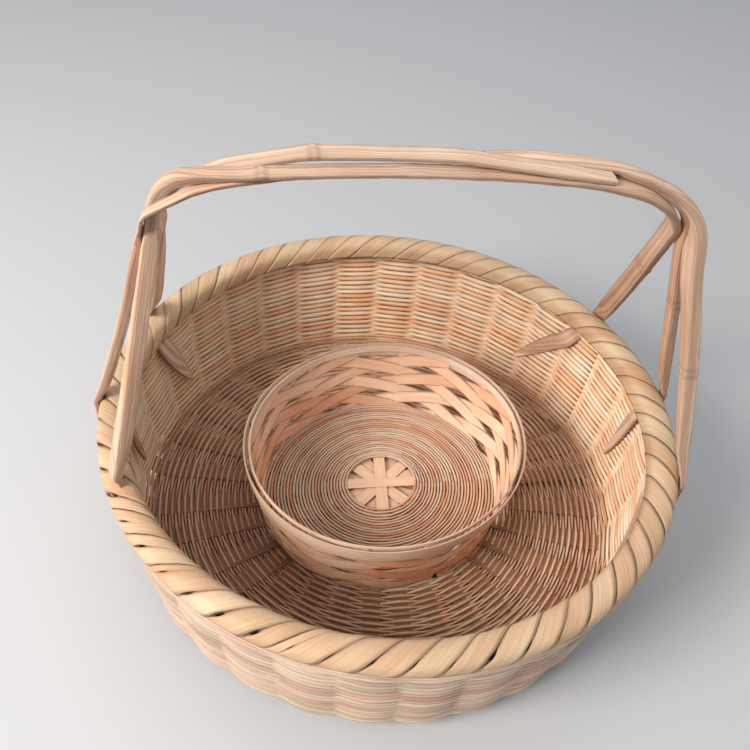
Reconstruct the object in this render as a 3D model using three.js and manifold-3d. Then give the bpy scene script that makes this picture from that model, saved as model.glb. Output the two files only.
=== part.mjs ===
// A round bamboo carrying basket with a spliced strip handle, and the small
// round lattice basket that stands loose in its middle.
// Millimetres, +Z up. The origin is on the ground under the middle of the basket,
// the handle runs along X, and the basket's front is towards -Y.

import * as THREE from "three";
import Module from "manifold-3d";

const wasm = await Module();
wasm.setup();

// Shared clearance between pieces that touch.
const gap = 0.3;

// The big basket's rim: a stake-and-weave wall clamped between two hoops,
// and a wide splint binding laid over all of it.
const rimRadius = 202;
const rimTop = 127;
const bindingWidth = 20;
const bindingDepth = 16;
const bindingWall = 3;
const hoopThickness = 4.1;
const hoopRecess = 0.5;
const wallTopThickness = 4.6;
const bindingRound = 5;

// The big basket's wall and floor. Insets are measured inwards from the rim's
// middle, and heights up from the ground.
const wallThickness = 6.4;
const floorLevel = 6.5;
const floorThickness = 6.6;
const floorInset = 24.3;
const floorDome = 1.8;
const footWidth = 9;
const heelInset = 10.5;
const heelHeight = 10.5;
const lowWallInset = 6.8;
const lowWallHeight = 17;
const midWallInset = 2.4;
const midWallHeight = 55;
const shoulderInset = 0.4;
const shoulderDrop = 8;
const stakeSwell = 1.8;
const wallHollow = 1;
const floorHollow = 1.4;

// The long splints that cross the floor and stand up as the wall's stakes.
const splintsEachWay = 8;
const stakeWidth = 15;
const stakeThickness = 1.2;
const splintPitch = 17;
const matMargin = 3.8;
const splintLayerStep = 1.6;
const stakeTurn = -3;
const stakeCount = 4 * splintsEachWay;
const stakeStep = 360 / stakeCount;

// The handle: strips of split bamboo, thick in the legs and pared thin over the top.
const legWidth = 15;
const legThickness = 9;
const braceWidth = 12;
const braceThickness = 6;
const slimLegWidth = 12;
const slimLegThickness = 6;
const bendThickness = 7;
const pareThickness = 2.6;
const slimPareThickness = 2;
const barWidth = 13;
const slimBarWidth = 9;
const tongueWidth = 13;
const slimTongueWidth = 9;
const tongueThickness = 3;
const tongueTopHeight = 99;
const tongueEndHeight = 42;
const tongueEase = 0.4;
const handleTop = 310;
const handleLift = 5;
const leftCorner = 157;
const rightCorner = 163;
const cornerHeight = 280;
const slimShare = 0.16;
const fullShare = 0.42;

// Where each leg of the handle stands, in degrees about Z from +X: outside the
// rim, where its tongue comes through the wall, and at the tongue's tip.
const legs = {
  backRight: { rim: 26.4, inside: 28.6, tip: 43 },
  middleRight: { rim: 0, inside: -1, tip: 2 },
  frontRight: { rim: -23.5, inside: -24.5, tip: -33 },
  backLeft: { rim: 152.6, inside: 155.4, tip: 148 },
  middleLeft: { rim: 180, inside: 180, tip: 177 },
  frontLeft: { rim: 202.7, inside: 202.7, tip: 202.7 },
};

// The small basket that stands inside. Its heel and its floor are set in from its rim.
const innerRimRadius = 112;
const innerHeelInset = 12;
const innerFloorInset = 14.4;
const innerRimTop = 79;
const innerOval = 0.926;
const innerOvalTurn = 30;
const innerHoopHeight = 9;
const innerHoopThickness = 1.7;
const innerFloorLift = 0.5;
const innerFloorThickness = 4.6;
const innerFloorDome = 0.6;
const hubRadius = 30.5;
const hubLift = 1;
const spokeWidth = 10;
const spokeThickness = 0.5;
const spokeCount = 8;
const latticeWidth = 11;
const latticeThickness = 0.8;
const latticeLayer = 0.6;
const latticeStripsEachWay = 8;
const latticeSweep = 125;

// Colours of the split bamboo, as seen on the real basket.
function bamboo(color, roughness) {
  return new THREE.MeshStandardMaterial({ color, roughness, metalness: 0 });
}
const handleSkin = bamboo(0xd9b48f, 0.5);
const rimSplint = bamboo(0xe6d2a6, 0.6);
const rimCore = bamboo(0xd3b583, 0.7);
const wallWeaver = bamboo(0xd8a67c, 0.65);
const stakeSplint = bamboo(0xdcae86, 0.6);
const latticeSplint = bamboo(0xdca37c, 0.55);
const floorWeaver = bamboo(0xcf9f78, 0.65);

const basket = new THREE.Group();

const UP = new THREE.Vector3(0, 0, 1);
const rad = THREE.MathUtils.degToRad;

function polar(radius, degrees, z) {
  const a = rad(degrees);
  return new THREE.Vector3(radius * Math.cos(a), radius * Math.sin(a), z);
}

// Makes an indexed geometry whose faces point outwards.
function closedGeometry(points, triangles) {
  let volume = 0;
  for (const [a, b, c] of triangles) {
    volume += points[a].dot(new THREE.Vector3().crossVectors(points[b], points[c]));
  }
  const index = [];
  for (const [a, b, c] of triangles) {
    index.push(a, volume > 0 ? b : c, volume > 0 ? c : b);
  }
  const geometry = new THREE.BufferGeometry();
  geometry.setFromPoints(points);
  geometry.setIndex(index);
  geometry.computeVertexNormals();
  return geometry;
}

// A closed ring: a profile of [radius, height] points turned about Z. relief may
// give a point of the profile another radius and height at a step.
function ring(profile, steps, startDegrees = 0, relief = (j, radius, z) => [radius, z]) {
  const points = [];
  for (let j = 0; j < steps; j += 1) {
    const degrees = startDegrees + (j * 360) / steps;
    for (const [radius, z] of profile) {
      const [at, height] = relief(j, radius, z);
      points.push(polar(at, degrees, height));
    }
  }
  const n = profile.length;
  const triangles = [];
  for (let j = 0; j < steps; j += 1) {
    const next = ((j + 1) % steps) * n;
    for (let i = 0; i < n; i += 1) {
      const k = (i + 1) % n;
      triangles.push([j * n + i, next + i, next + k]);
      triangles.push([j * n + i, next + k, j * n + k]);
    }
  }
  return closedGeometry(points, triangles);
}

// A flat strip of bamboo along a path. Each stop has a point, the direction of
// the strip's width, a width and a thickness. With skin set, the points run
// along the strip's outer face, and otherwise along its middle.
// grow widens the strip all round, to cut a pocket that keeps a clearance.
function strip(stops, { skin = false, grow = 0 } = {}) {
  const points = [];
  const last = stops.length - 1;
  stops.forEach((stop, i) => {
    const before = new THREE.Vector3().subVectors(stop.at, stops[Math.max(i - 1, 0)].at).normalize();
    const after = new THREE.Vector3().subVectors(stops[Math.min(i + 1, last)].at, stop.at).normalize();
    const along = new THREE.Vector3().addVectors(before, after).normalize();
    const wide = stop.wide.clone().addScaledVector(along, -stop.wide.dot(along)).normalize();
    const out = new THREE.Vector3().crossVectors(along, wide).normalize();
    const end = i === 0 ? -grow : i === last ? grow : 0;
    const middle = stop.at.clone().addScaledVector(along, end);
    middle.addScaledVector(out, skin ? -stop.thickness / 2 : 0);
    const w = stop.width / 2 + grow;
    const t = stop.thickness / 2 + grow;
    for (const [a, b] of [[-1, 1], [1, 1], [1, -1], [-1, -1]]) {
      points.push(middle.clone().addScaledVector(wide, a * w).addScaledVector(out, b * t));
    }
  });
  const triangles = [[0, 1, 2], [0, 2, 3]];
  for (let i = 0; i < last; i += 1) {
    for (let k = 0; k < 4; k += 1) {
      const a = 4 * i + k;
      const b = 4 * i + ((k + 1) % 4);
      triangles.push([a, a + 4, b + 4]);
      triangles.push([a, b + 4, b]);
    }
  }
  const e = 4 * last;
  triangles.push([e, e + 2, e + 1]);
  triangles.push([e, e + 3, e + 2]);
  return closedGeometry(points, triangles);
}

function toSolid(geometry) {
  const vertProperties = new Float32Array(geometry.getAttribute("position").array);
  const triVerts = new Uint32Array(geometry.getIndex().array);
  return new wasm.Manifold(new wasm.Mesh({ numProp: 3, vertProperties, triVerts }));
}

function toGeometry(solid) {
  const cut = solid.getMesh();
  const geometry = new THREE.BufferGeometry();
  geometry.setAttribute("position", new THREE.BufferAttribute(new Float32Array(cut.vertProperties), 3));
  geometry.setIndex(new THREE.BufferAttribute(new Uint32Array(cut.triVerts), 1));
  geometry.computeVertexNormals();
  return geometry;
}

function cutAway(geometry, cutters) {
  let solid = toSolid(geometry);
  for (const cutter of cutters) {
    solid = solid.subtract(toSolid(cutter));
  }
  return toGeometry(solid);
}

function addPiece(parent, name, geometry, material) {
  const piece = new THREE.Mesh(geometry, material);
  piece.name = name;
  parent.add(piece);
}

// The wall's middle line from the floor to the rim, as [radius, height].
const bindingFoot = rimTop - bindingDepth;
const wallTopHeight = rimTop - bindingWall - bindingRound * 0.42;
const shoulderHeight = bindingFoot - shoulderDrop;
const floorSide = rimRadius - floorInset;
const wallLine = [
  [floorSide, floorLevel],
  [rimRadius - heelInset, heelHeight],
  [rimRadius - lowWallInset, lowWallHeight],
  [rimRadius - midWallInset, midWallHeight],
  [rimRadius - shoulderInset, shoulderHeight],
  [rimRadius, bindingFoot],
  [rimRadius, wallTopHeight],
];

function wallRadiusAt(z) {
  for (let i = 1; i < wallLine.length; i += 1) {
    const [r0, z0] = wallLine[i - 1];
    const [r1, z1] = wallLine[i];
    if (z <= z1) {
      return r0 + ((r1 - r0) * Math.max(z - z0, 0)) / (z1 - z0);
    }
  }
  return rimRadius;
}

// Stakes stand aside where a leg of the handle goes through the wall.
const tongueClearance = (stakeWidth + tongueWidth) / 2 + 3 * gap;

function standAside(degrees) {
  let angle = degrees;
  for (const leg of Object.values(legs)) {
    const middle = (leg.rim + leg.inside) / 2;
    const sweep = Math.abs(leg.rim - leg.inside) / 2;
    const clear = THREE.MathUtils.radToDeg(tongueClearance / rimRadius) + sweep;
    const away = THREE.MathUtils.euclideanModulo(angle - middle + 180, 360) - 180;
    if (Math.abs(away) < clear) {
      angle = middle + Math.sign(away) * clear;
    }
  }
  return angle;
}

// The mat of crossing splints in the middle of the floor, from its middle to its
// side, and to where the floor's weavers begin just past its corners.
const matHalf = (splintsEachWay * splintPitch) / 2;
const matCorner = matHalf * Math.SQRT2 + matMargin;

// The stakes and the floor of the big basket are long splints laid crosswise in
// two layers. Past the mat in the middle they fan out to even angles, turn up at
// the heel and end between the rim's hoops.
function splintStops(number, turn, layer) {
  const place = number - (splintsEachWay - 1) / 2;
  const offset = place * splintPitch;
  const lean = place * stakeStep;
  const shift = (layer * splintLayerStep) / 2;
  const zero = turn + stakeTurn;
  const stops = [];
  for (const side of [-1, 1]) {
    const half = [];
    const stop = (at, tangent) => {
      half.push({ at, wide: polar(side, tangent, 0), width: stakeWidth, thickness: stakeThickness });
    };
    const matEdge = new THREE.Vector3(side * matHalf, offset, floorLevel + floorDome + shift);
    const facing = side > 0 ? zero : zero + 180;
    stop(matEdge.applyAxisAngle(UP, rad(zero)), facing + (side * lean) / 2 + 90);
    const degrees = standAside(facing + side * lean);
    wallLine.forEach(([radius, height], i) => {
      stop(polar(radius, degrees, i === 0 ? height + shift : height), degrees + 90);
    });
    stops.push(...(side < 0 ? half.reverse() : half));
  }
  return stops;
}

const splints = [];
for (let i = 0; i < splintsEachWay; i += 1) {
  splints.push({ name: `long_splint_across_${i + 1}`, stops: splintStops(i, 0, 1) });
  splints.push({ name: `long_splint_front_to_back_${i + 1}`, stops: splintStops(i, 90, -1) });
}
const splintPockets = splints.map((splint) => strip(splint.stops, { grow: gap }));

// The foot of a leg of the handle: the tongue inside the wall, its way out under
// the rim, and up against the binding. One leg goes down through the rim instead.
const rimOuter = rimRadius + bindingWidth / 2;
const tongueOff = wallThickness / 2 + gap + tongueEase;
const knuckle = tongueThickness * 1.2;

function footStops(leg, slim) {
  const tongue = slim ? slimTongueWidth : tongueWidth;
  const stops = [];
  const stop = (radius, degrees, z, width, thickness) => {
    const wide = polar(1, degrees + 90, 0);
    stops.push({ at: polar(radius, degrees, z), wide, width, thickness });
  };
  if (leg === legs.frontLeft) {
    const half = tongueThickness / 2;
    stop(wallRadiusAt(tongueEndHeight) + half, leg.tip, tongueEndHeight, tongue, tongueThickness);
    stop(wallRadiusAt(shoulderHeight) + half, leg.inside, shoulderHeight, tongue, tongueThickness);
    stop(rimRadius + half, leg.rim, rimTop + gap, tongue, tongueThickness);
    stop(rimRadius + half + tongueThickness, leg.rim, rimTop + legThickness, tongue, tongueThickness * 2);
    return stops;
  }
  for (const share of [0, 0.35, 0.7, 1]) {
    const z = tongueEndHeight + (tongueTopHeight - tongueEndHeight) * share;
    const degrees = leg.tip + (leg.inside - leg.tip) * share;
    const taper = share === 0 ? 0.75 : 1;
    stop(wallRadiusAt(z) - tongueOff, degrees, z, tongue * taper, tongueThickness);
  }
  stop(rimOuter + gap + knuckle, leg.rim, bindingFoot - tongueThickness, tongue, tongueThickness * 1.1);
  stop(rimOuter + gap + knuckle, leg.rim, rimTop - bindingRound, tongue, tongueThickness);
  return stops;
}

// A leg above its foot: pared at the rim, and thick from a little way up to the
// shoulder under the bend.
function legStops(leg, slim, shoulder) {
  const brace = leg === legs.backRight;
  const width = slim ? slimLegWidth : brace ? braceWidth : legWidth;
  const thick = slim ? slimLegThickness : brace ? braceThickness : legThickness;
  const stops = footStops(leg, slim);
  const foot = stops[stops.length - 1];
  const top = new THREE.Vector3(...shoulder);
  const sideways = new THREE.Vector3(0, Math.sign(foot.wide.y), 0);
  for (const share of [slimShare, fullShare, 1]) {
    const slimmed = share === slimShare;
    stops.push({
      at: foot.at.clone().lerp(top, share),
      wide: foot.wide.clone().lerp(sideways, share).normalize(),
      width: slimmed ? (width + foot.width) / 2 : width,
      thickness: slimmed ? (thick + foot.thickness) / 2 : thick,
    });
  }
  return stops;
}

// A strip of the handle from its left leg, over the top, to its right leg. The
// points run along its skin, and the first and last are the legs' shoulders. A
// fourth number is the thickness at a point that isn't pared yet. A strip without
// a leg on one side ends there, spliced on the strips beside it.
function handleStops(left, right, slim, points) {
  const thin = slim ? slimPareThickness : pareThickness;
  const width = slim ? slimBarWidth : barWidth;
  const stops = [];
  if (left) {
    for (const stop of legStops(left, slim, points[0])) {
      stops.push({ ...stop, wide: stop.wide.negate() });
    }
  }
  for (const [x, y, z, thickness = thin] of points.slice(left ? 1 : 0, right ? -1 : undefined)) {
    stops.push({ at: new THREE.Vector3(x, y, z), wide: new THREE.Vector3(0, 1, 0), width, thickness });
  }
  if (right) {
    stops.push(...legStops(right, slim, points[points.length - 1]).reverse());
  }
  return stops;
}

const hoops = [
  {
    name: "handle_hoop_front_left_to_back_right",
    stops: handleStops(legs.frontLeft, legs.backRight, false, [
      [-leftCorner - 4, -14, cornerHeight - 12],
      [-leftCorner - 1.5, -12, cornerHeight, bendThickness],
      [-leftCorner + 1.5, -10, cornerHeight + 13, bendThickness],
      [-leftCorner + 8, -9, cornerHeight + 23, bendThickness],
      [-leftCorner + 19, -8.5, handleTop - 1.5, bendThickness - 1],
      [-leftCorner + 33, -8, handleTop - 0.2, bendThickness - 2.5],
      [-105, -7, handleTop],
      [-70, -4, handleTop + 0.5],
      [-14, -1.5, handleTop + 1],
      [46, 0, handleTop],
      [76, 1, handleTop - 2],
      [108, 2.5, handleTop - 4.5],
      [122, 2.5, handleTop - 6.2],
      [rightCorner - 27, 1, handleTop - 8.2],
      [rightCorner - 13, 0, cornerHeight + 16],
      [rightCorner - 3, 0, cornerHeight + 8],
      [rightCorner + 1, 1.5, cornerHeight + 1],
      [rightCorner + 4, 5, cornerHeight - 6],
      [rightCorner + 5, 9, cornerHeight - 14],
    ]),
  },
  {
    name: "handle_strip_back_left",
    stops: handleStops(legs.backLeft, null, false, [
      [-leftCorner - 3, 9, cornerHeight - 14],
      [-leftCorner + 1, 7.5, cornerHeight - 1],
      [-leftCorner + 7, 6.5, cornerHeight + 10],
      [-leftCorner + 15, 6, cornerHeight + 18],
      [-leftCorner + 27, 6.5, handleTop - 7],
      [-116, 7.5, handleTop - 3],
      [-99, 9, handleTop + 0.3],
      [-82, 10, handleTop + 3],
      [-65, 11.5, handleTop + handleLift],
      [-14, 12.5, handleTop + handleLift + 0.5],
      [17, 12, handleTop + handleLift + 0.5],
      [46, 8.5, handleTop + handleLift - 1],
      [76, 5.2, handleTop + 2],
      [108, 2.8, handleTop - 1],
      [122, 3, handleTop - 2.8],
    ]),
  },
  {
    name: "handle_strip_front_right",
    stops: handleStops(null, legs.frontRight, false, [
      [36, 18, handleTop],
      [56, 20.5, handleTop + 0.2],
      [76, 19.5, handleTop + 1],
      [108, 16.6, handleTop],
      [122, 16.6, handleTop - 1.8],
      [rightCorner - 27, 11, handleTop - 3.2],
      [rightCorner - 13, 8, cornerHeight + 22],
      [rightCorner + 1, 3.7, cornerHeight + 17],
      [rightCorner + 10, -0.5, cornerHeight + 10],
      [rightCorner + 15, -5, cornerHeight + 2],
      [rightCorner + 17.5, -10.5, cornerHeight - 7],
      [rightCorner + 19, -15.5, cornerHeight - 17],
    ]),
  },
  {
    name: "handle_hoop_middle",
    stops: handleStops(legs.middleLeft, legs.middleRight, true, [
      [-leftCorner - 12.6, -9, cornerHeight - 17],
      [-leftCorner - 9, -18, cornerHeight - 4],
      [-leftCorner - 1, -27, cornerHeight + 5],
      [-leftCorner + 8, -27, cornerHeight + 12],
      [-leftCorner + 19, -21, cornerHeight + 18],
      [-126, -15, handleTop - 7.5],
      [-113, -11, handleTop - 5.4],
      [-99, -8, handleTop - 4],
      [-60, 1, handleTop - 3.4],
      [-14, 3.5, handleTop - 3.2],
      [46, 5, handleTop - 4.4],
      [76, 7, handleTop - 6.5],
      [90, 11, handleTop - 7.5],
      [100, 14.5, handleTop - 6],
      [115, 15, handleTop - 5.5],
      [122, 14.8, handleTop - 6],
      [rightCorner - 27, 15, handleTop - 6.2],
      [rightCorner - 13, 7.5, cornerHeight + 19],
      [rightCorner - 2, 2, cornerHeight + 13],
      [rightCorner + 4, 0, cornerHeight + 7],
      [rightCorner + 9, -1, cornerHeight - 2],
      [rightCorner + 12.2, -1, cornerHeight - 16],
    ]),
  },
];
const hoopPockets = hoops.map((hoop) => strip(hoop.stops, { skin: true, grow: gap }));

// The wall's weavers, as one closed shell. Outside it swells over each stake, and
// inside it is hollow between them.
const firstStake = stakeTurn + stakeStep / 2;

function wallRelief(j, radius, z) {
  const overStake = j % 2 === 0;
  const woven = z > 1 && z < bindingFoot - 1;
  if (woven && overStake && radius > wallRadiusAt(z) + 1) {
    return [radius + stakeSwell, z];
  }
  if (woven && !overStake && radius < wallRadiusAt(z) - 1 && radius > floorSide + 1) {
    return [radius + wallHollow, z];
  }
  return [radius, z];
}

function wallProfile() {
  const outer = [];
  const inner = [];
  const lastLine = wallLine.length - 1;
  for (let i = 1; i <= lastLine; i += 1) {
    const [r0, z0] = wallLine[i - 1];
    const [r1, z1] = wallLine[Math.min(i + 1, lastLine)];
    const length = Math.hypot(r1 - r0, z1 - z0);
    const half = (i >= lastLine - 1 ? wallTopThickness : wallThickness) / 2;
    const [r, z] = wallLine[i];
    const top = i === lastLine;
    outer.push([r + (half * (z1 - z0)) / length, top ? z : z - (half * (r1 - r0)) / length]);
    inner.unshift([r - (half * (z1 - z0)) / length, top ? z : z + (half * (r1 - r0)) / length]);
  }
  return [
    [floorSide, 0],
    [floorSide + footWidth, 0],
    ...outer,
    ...inner,
    [floorSide, floorLevel + floorThickness / 2],
  ];
}

addPiece(
  basket,
  "wall_weave",
  cutAway(ring(wallProfile(), 2 * stakeCount, firstStake, wallRelief), [...splintPockets, ...hoopPockets]),
  wallWeaver,
);

// The floor's weavers, round and round the mat of splints. Towards the floor's side,
// where the splints stand apart, they draw together above and below each gap.
function floorRelief(j, radius, z) {
  const overStake = j % 2 === 0;
  if (overStake || radius < matCorner + 1) {
    return [radius, z];
  }
  return [radius, z + Math.sign(floorLevel - z) * floorHollow];
}

addPiece(
  basket,
  "floor_weave",
  cutAway(
    ring(
      [
        [matCorner, floorLevel - floorThickness / 2],
        [floorSide - gap, floorLevel - floorThickness / 2],
        [floorSide - gap, floorLevel + floorThickness / 2],
        [matCorner, floorLevel + floorThickness / 2],
      ],
      2 * stakeCount,
      firstStake,
      floorRelief,
    ),
    splintPockets,
  ),
  floorWeaver,
);

for (const splint of splints) {
  addPiece(basket, splint.name, strip(splint.stops), stakeSplint);
}

// The rim's two hoops, on either side of the wall's top.
const hoopFoot = bindingFoot + hoopRecess;
const innerHoopOuter = rimRadius - wallTopThickness / 2 - gap;
const outerHoopInner = rimRadius + wallTopThickness / 2 + gap;

function rimHoop(from, to) {
  return ring([[from, hoopFoot], [to, hoopFoot], [to, wallTopHeight], [from, wallTopHeight]], 64, firstStake);
}

addPiece(
  basket,
  "rim_hoop_inner",
  rimHoop(innerHoopOuter - hoopThickness, innerHoopOuter),
  rimCore,
);
addPiece(
  basket,
  "rim_hoop_outer",
  rimHoop(outerHoopInner, outerHoopInner + hoopThickness),
  rimCore,
);

// The binding over the rim, a channel that is open below where the wall comes in.
const bindingInner = rimRadius - bindingWidth / 2;
const channelInner = innerHoopOuter - hoopThickness - gap;
const channelOuter = outerHoopInner + hoopThickness + gap;
const channelTop = wallTopHeight + gap;

addPiece(
  basket,
  "rim_binding",
  cutAway(
    ring(
      [
        [bindingInner, bindingFoot],
        [channelInner, bindingFoot],
        [channelInner, channelTop],
        [channelOuter, channelTop],
        [channelOuter, bindingFoot],
        [rimOuter, bindingFoot],
        [rimOuter, rimTop - bindingRound],
        [rimOuter - bindingRound * 0.8, rimTop - bindingRound * 0.2],
        [rimRadius, rimTop],
        [bindingInner + bindingRound * 0.8, rimTop - bindingRound * 0.2],
        [bindingInner, rimTop - bindingRound],
      ],
      64,
      firstStake,
    ),
    hoopPockets,
  ),
  rimSplint,
);

for (const hoop of hoops) {
  addPiece(basket, hoop.name, strip(hoop.stops, { skin: true }), handleSkin);
}

// The small basket is a little oval, so each of its pieces is drawn round first
// and then narrowed across the oval.
const ovalTurn = new THREE.Matrix4().makeRotationZ(rad(innerOvalTurn));
const ovalShape = new THREE.Matrix4()
  .makeScale(1, innerOval, 1)
  .premultiply(ovalTurn)
  .multiply(ovalTurn.clone().invert());

const innerHeelRadius = innerRimRadius - innerHeelInset;
const innerFloorRadius = innerRimRadius - innerFloorInset;

function addInnerPiece(name, geometry, material) {
  geometry.applyMatrix4(ovalShape);
  addPiece(basket, name, geometry, material);
}

// Its floor is a star of crossing splints, the top one level across, with fine
// weavers round them in a low dome.
const innerFloorFoot = floorLevel + floorThickness / 2 + innerFloorLift;

function domeHeight(radius) {
  const share = Math.min(radius / innerFloorRadius, 1);
  return innerFloorFoot + innerFloorThickness / 2 + innerFloorDome * (1 - share * share);
}

const spokeStackStep = spokeThickness + gap;
const stackOrder = [7, 3, 5, 1, 6, 2, 4, 0];

function spokeStops(number) {
  const degrees = (number * 180) / spokeCount;
  const side = polar(1, degrees + 90, 0);
  const stackZ = innerFloorFoot + hubLift + stackOrder[number] * spokeStackStep;
  const stops = [];
  const half = [
    [hubRadius - 1.5, stackZ],
    [hubRadius + 9, domeHeight(hubRadius + 9)],
    [innerFloorRadius * 0.68, domeHeight(innerFloorRadius * 0.68)],
    [innerFloorRadius - 1, domeHeight(innerFloorRadius)],
  ];
  const stop = (radius, z) => {
    stops.push({ at: polar(radius, degrees, z), wide: side, width: spokeWidth, thickness: spokeThickness });
  };
  for (const [radius, z] of half.slice().reverse()) {
    stop(-radius, z);
  }
  for (const [radius, z] of half) {
    stop(radius, z);
  }
  return stops;
}

const spokes = [];
for (let i = 0; i < spokeCount; i += 1) {
  spokes.push(spokeStops(i));
}

const domeStops = [hubRadius, innerFloorRadius * 0.45, innerFloorRadius * 0.68, innerFloorRadius];
const domeTop = domeStops.map((r) => [r, domeHeight(r) + innerFloorThickness / 2]);
const domeFoot = domeStops.map((r) => [r, domeHeight(r) - innerFloorThickness / 2]).reverse();

addInnerPiece(
  "inner_basket_floor_weave",
  cutAway(ring([...domeTop, ...domeFoot], 48), spokes.map((stops) => strip(stops, { grow: gap }))),
  floorWeaver,
);
spokes.forEach((stops, i) => {
  addInnerPiece(`inner_basket_star_splint_${i + 1}`, strip(stops), latticeSplint);
});

// The small basket's lattice wall: two layers of splints that lean opposite ways.
const latticeFoot = innerFloorFoot;
const latticeTop = innerRimTop - 0.4;

function latticeRadius(z) {
  const share = (z - latticeFoot) / (latticeTop - latticeFoot);
  return innerHeelRadius + (innerRimRadius - innerHeelRadius) * Math.pow(Math.max(share, 0), 0.8);
}

function latticeStops(number, lean) {
  const steps = 24;
  const start = (number * 360) / latticeStripsEachWay;
  const low = latticeFoot + latticeWidth / 2;
  const high = latticeTop - latticeWidth / 2;
  const stops = [];
  for (let i = 0; i <= steps; i += 1) {
    const share = i / steps;
    const z = low + (high - low) * share;
    const radius = latticeRadius(z) - lean * latticeLayer;
    const slope = (latticeRadius(z + 1) - latticeRadius(z - 1)) / 2;
    const degrees = start + lean * latticeSweep * share;
    const wide = polar(slope, degrees, 1);
    stops.push({ at: polar(radius, degrees, z), wide, width: latticeWidth, thickness: latticeThickness });
  }
  return stops;
}

for (let i = 0; i < latticeStripsEachWay; i += 1) {
  addInnerPiece(`inner_basket_lattice_left_${i + 1}`, strip(latticeStops(i, 1)), latticeSplint);
  addInnerPiece(`inner_basket_lattice_right_${i + 1}`, strip(latticeStops(i, -1)), latticeSplint);
}

// The small basket's rim: a flat hoop inside and one outside the lattice.
function innerHoop(side) {
  const clear = side * (latticeLayer + latticeThickness / 2 + gap);
  const foot = innerRimTop - innerHoopHeight;
  const at = (z) => latticeRadius(Math.min(z, latticeTop)) + clear;
  const profile = [
    [at(foot), foot],
    [at(foot) + side * innerHoopThickness, foot],
    [at(innerRimTop) + side * innerHoopThickness, innerRimTop],
    [at(innerRimTop), innerRimTop],
  ];
  return ring(profile, 48);
}

addInnerPiece("inner_basket_rim_hoop_inner", innerHoop(-1), rimSplint);
addInnerPiece("inner_basket_rim_hoop_outer", innerHoop(1), rimSplint);

export default basket;
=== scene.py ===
import math

import bpy
import numpy as np
from mathutils import Matrix, Vector, noise


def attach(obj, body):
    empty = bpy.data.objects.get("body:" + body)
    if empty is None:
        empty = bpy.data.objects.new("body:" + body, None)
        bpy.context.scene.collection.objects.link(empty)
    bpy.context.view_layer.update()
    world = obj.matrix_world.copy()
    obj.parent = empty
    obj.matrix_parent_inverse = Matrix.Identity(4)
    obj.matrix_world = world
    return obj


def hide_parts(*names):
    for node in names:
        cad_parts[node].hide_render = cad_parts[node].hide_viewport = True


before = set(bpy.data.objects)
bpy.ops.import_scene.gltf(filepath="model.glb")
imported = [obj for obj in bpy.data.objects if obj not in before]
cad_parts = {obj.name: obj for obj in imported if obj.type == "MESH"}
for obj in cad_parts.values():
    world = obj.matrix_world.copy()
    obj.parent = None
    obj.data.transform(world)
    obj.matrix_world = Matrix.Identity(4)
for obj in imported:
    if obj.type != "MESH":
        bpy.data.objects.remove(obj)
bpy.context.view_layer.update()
scene = bpy.context.scene
scene.view_settings.view_transform = "Standard"

# The view: the basket stands on a plain pale floor, seen from the front left and
# above, at the angle of the photograph. Soft daylight comes mostly from the left.
eye = Vector((-0.0802, -0.3881, 0.524))
target = Vector((-0.00065, 0.0864, 0.060))
roll = math.radians(6.3)
forward = (target - eye).normalized()
level_right = forward.cross(Vector((0, 0, 1))).normalized()
level_up = level_right.cross(forward)
camera_right = math.cos(roll) * level_right + math.sin(roll) * level_up
camera_up = -math.sin(roll) * level_right + math.cos(roll) * level_up
camera_data = bpy.data.cameras.new("view")
camera_data.lens = 36
camera_data.sensor_width = 36
camera_data.clip_start = 0.01
camera = bpy.data.objects.new("view", camera_data)
camera.matrix_world = Matrix((
    (camera_right.x, camera_up.x, -forward.x, eye.x),
    (camera_right.y, camera_up.y, -forward.y, eye.y),
    (camera_right.z, camera_up.z, -forward.z, eye.z),
    (0, 0, 0, 1),
))
scene.collection.objects.link(camera)
scene.camera = camera


def new_material(name):
    material = bpy.data.materials.new(name)
    material.use_nodes = True
    tree = material.node_tree
    return material, tree, tree.nodes["Principled BSDF"]


reach = 6.0
just_below = -0.0002
floor_mesh = bpy.data.meshes.new("floor")
floor_mesh.from_pydata(
    [(-reach, -reach, 0), (reach, -reach, 0), (reach, reach, 0), (-reach, reach, 0)], [], [(0, 1, 2, 3)]
)
floor = bpy.data.objects.new("floor", floor_mesh)
floor.location.z = just_below
scene.collection.objects.link(floor)
floor_material, tree, shader = new_material("pale_floor")
shader.inputs["Base Color"].default_value = (0.5, 0.5, 0.51, 1)
shader.inputs["Roughness"].default_value = 0.8
floor_mesh.materials.append(floor_material)

world = bpy.data.worlds.new("daylight")
world.use_nodes = True
daylight = world.node_tree.nodes["Background"].inputs
daylight["Color"].default_value = (0.93, 0.96, 1.0, 1)
daylight["Strength"].default_value = 0.6
scene.world = world


def window(name, place, aim, size, power, color):
    data = bpy.data.lights.new(name, "AREA")
    data.shape = "DISK"
    data.size = size
    data.energy = power
    data.color = color
    lamp = bpy.data.objects.new(name, data)
    lamp.location = place
    lamp.rotation_euler = (Vector(aim) - Vector(place)).to_track_quat("-Z", "Y").to_euler()
    scene.collection.objects.link(lamp)


basket_middle = (0, 0, 0.1)
window("window_left", (-1.3, -0.72, 1.15), basket_middle, size=0.8, power=42, color=(1.0, 0.97, 0.93))
window("skylight", (0.1, 0.4, 1.9), basket_middle, size=1.4, power=5, color=(1.0, 0.985, 0.96))

# The mat and the stakes: sixteen long flat splints of split bamboo, crossed in the
# middle of the floor, fanned out past it and turned up at the heel, to stand in the
# wall. The floor and the wall are woven on them. The frame's own solids are shown.
mm = 0.001
mat_radius = 95 * mm
splint_light = "e9bf93"
splint_dark = "c98d60"


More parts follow.
